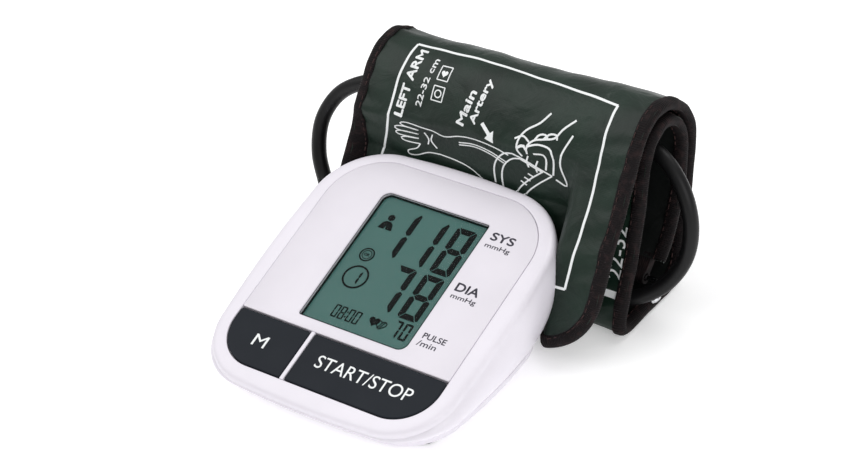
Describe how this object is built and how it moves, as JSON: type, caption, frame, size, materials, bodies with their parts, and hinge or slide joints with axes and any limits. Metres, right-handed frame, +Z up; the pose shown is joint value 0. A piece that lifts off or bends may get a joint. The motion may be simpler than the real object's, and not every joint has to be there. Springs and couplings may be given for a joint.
{
  "type": "upper arm blood pressure monitor",
  "caption": "Desk-top blood pressure monitor with tilted display and push keys, a rolled arm cuff behind it and an air hose joining the two.",
  "frame": {"origin": "centre of the footprint of monitor and cuff at table height", "axes": "+Z up, +Y from the monitor back to the rolled cuff, +X to the right of someone reading the display"},
  "size_m": [0.1893, 0.1701, 0.091],
  "materials": {
    "panelWhite": "satin",
    "lens": "polished",
    "glass": "polished",
    "grey": "moulded",
    "rubber": "matte",
    "key": "satin",
    "chip": "matte",
    "steel": "plated",
    "board": "solder mask",
    "white": "satin",
    "cell": "printed sleeve",
    "brass": "plain",
    "copper": "wound",
    "silicone": "smooth",
    "cloth": "woven nylon",
    "lining": "brushed",
    "bladder": "smooth",
    "binding": "ribbed tape",
    "hook": "hook tape",
    "hose": "smooth"
  },
  "bodies": {
    "monitor_and_cuff": {"face_panel": "panelWhite", "display_window": "lens", "lcd_glass": "glass", "lcd_holder": "grey", "zebra_strip": "rubber", "memory_switch": "chip", "start_switch": "chip", "main_board": "board", "processor": "chip", "buzzer": "chip", "pressure_sensor": "grey", "top_housing": "white", "bottom_housing": "white", "rubber_foot_1": "rubber", "rubber_foot_2": "rubber", "rubber_foot_3": "rubber", "rubber_foot_4": "rubber", "housing_screw_1": "steel", "housing_screw_2": "steel", "housing_screw_3": "steel", "housing_screw_4": "steel", "battery_cell_1": "cell", "battery_cell_2": "cell", "battery_cell_3": "cell", "battery_cell_4": "cell", "battery_contact_1": "steel", "battery_contact_2": "steel", "battery_contact_3": "steel", "battery_contact_4": "steel", "battery_contact_5": "steel", "pump_motor": "steel", "pump_head": "key", "exhaust_valve": "copper", "air_manifold": "grey", "air_socket": "grey", "socket_tube": "silicone", "pump_tube": "silicone", "valve_tube": "silicone", "cuff_cover": "cloth", "cuff_lining": "lining", "cuff_bladder": "bladder", "cuff_binding": "binding", "hook_patch": "hook", "ring_sleeve": "binding", "air_plug": "rubber", "air_hose": "hose", "hose_port": "rubber"},
    "memory_button": {"memory_key": "key", "memory_switch_button": "steel"},
    "start_button": {"start_key": "key", "start_switch_button": "steel"},
    "battery_door": {"battery_cover": "white"},
    "cam": {"pump_cam": "brass"},
    "plunger": {"valve_plunger": "steel"},
    "ring_bar": {"metal_ring": "steel"}
  },
  "joints": [
    {"name": "memory_press", "type": "slide", "parent": "monitor_and_cuff", "child": "memory_button", "axis": [0, 0.309, -0.9511], "range_m": [0, 0.0006], "stiffness_N_per_m": 2500},
    {"name": "start_press", "type": "slide", "parent": "monitor_and_cuff", "child": "start_button", "axis": [0, 0.309, -0.9511], "range_m": [0, 0.0006], "stiffness_N_per_m": 2500},
    {"name": "battery_cover_off", "type": "slide", "parent": "monitor_and_cuff", "child": "battery_door", "axis": [0, 0, -1], "range_m": [0, 0.02]},
    {"name": "cam_spin", "type": "hinge", "parent": "monitor_and_cuff", "child": "cam", "pos_m": [-0.0415, -0.0293, 0.0129], "axis": [0, 1, 0], "continuous": true},
    {"name": "valve_open", "type": "slide", "parent": "monitor_and_cuff", "child": "plunger", "axis": [-1, 0, 0], "range_m": [0, 0.0015], "stiffness_N_per_m": 300},
    {"name": "ring_swing", "type": "hinge", "parent": "monitor_and_cuff", "child": "ring_bar", "pos_m": [0, 0.0493, 0.013], "axis": [-1, 0, 0], "range_deg": [0, 8]}
  ]
}
